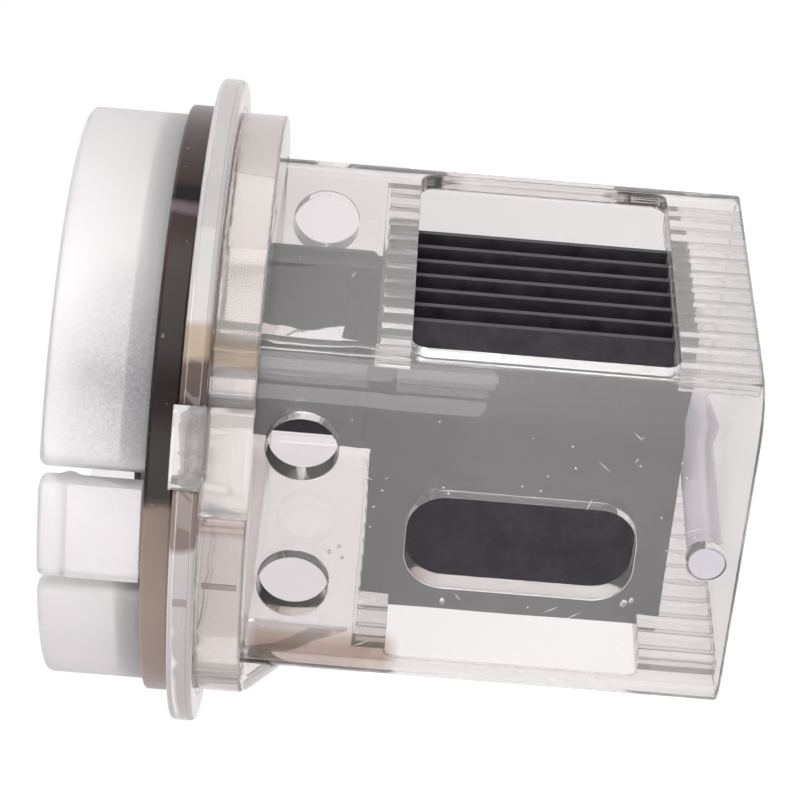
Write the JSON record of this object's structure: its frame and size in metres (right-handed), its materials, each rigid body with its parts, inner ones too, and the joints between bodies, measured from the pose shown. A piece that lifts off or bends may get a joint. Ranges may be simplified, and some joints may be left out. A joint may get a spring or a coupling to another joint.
{
  "type": "salt chlorinator electrode cell",
  "caption": "Clear moulded electrode cartridge: a windowed box of dark parallel plates under a round flanged head with a frosted connector skirt.",
  "frame": {"origin": "on the head's axis, level with the open end of the cell box", "axes": "+Z along the cell from the open end to the connector head; the slotted walls face -Y and +Y, the windows face -X and +X"},
  "size_m": [0.11, 0.11, 0.1126],
  "materials": {
    "clear_box": "polished clear acrylic",
    "clear_head": "polished clear acrylic",
    "clear_key": "clear acrylic with bright bond lines",
    "clear_comb": "sawn clear acrylic",
    "clear_rod": "clear acrylic rod",
    "smoked_disc": "smoked brown",
    "frosted": "frosted translucent",
    "black_block": "black moulding",
    "coated_titanium": "matt black mixed-oxide coating",
    "bare_titanium": "turned",
    "stainless": "satin"
  },
  "bodies": {
    "housing": {"cell_box": "clear_box", "collar_ring": "clear_head", "flange_ring": "clear_head", "locating_key": "clear_key", "corner_gusset": "clear_head", "seal_disc": "smoked_disc", "connector_skirt": "frosted", "terminal_block": "black_block", "comb_head_pos": "clear_comb", "comb_head_neg": "clear_comb", "comb_open_pos": "clear_comb", "comb_open_neg": "clear_comb", "plate_1": "coated_titanium", "plate_2": "coated_titanium", "plate_3": "coated_titanium", "plate_4": "coated_titanium", "plate_5": "coated_titanium", "plate_6": "coated_titanium", "plate_7": "coated_titanium", "strap_front": "coated_titanium", "strap_back": "coated_titanium", "stud_front": "bare_titanium", "stud_back": "bare_titanium", "washer_front": "stainless", "washer_back": "stainless", "nut_front": "stainless", "nut_back": "stainless", "retaining_rod": "clear_rod"},
    "front_latch": {"latch_tab_front": "frosted"},
    "back_latch": {"latch_tab_back": "frosted"}
  },
  "joints": [
    {"name": "front_latch_flex", "type": "hinge", "parent": "housing", "child": "front_latch", "pos_m": [0.00351, -0.04673, 0.0966], "axis": [-0.9972, -0.075, 0], "range_deg": [-1.5, 6], "stiffness_Nm_per_rad": 0.6},
    {"name": "back_latch_flex", "type": "hinge", "parent": "housing", "child": "back_latch", "pos_m": [-0.00351, 0.04673, 0.0966], "axis": [0.9972, 0.075, 0], "range_deg": [-1.5, 6], "stiffness_Nm_per_rad": 0.6}
  ]
}
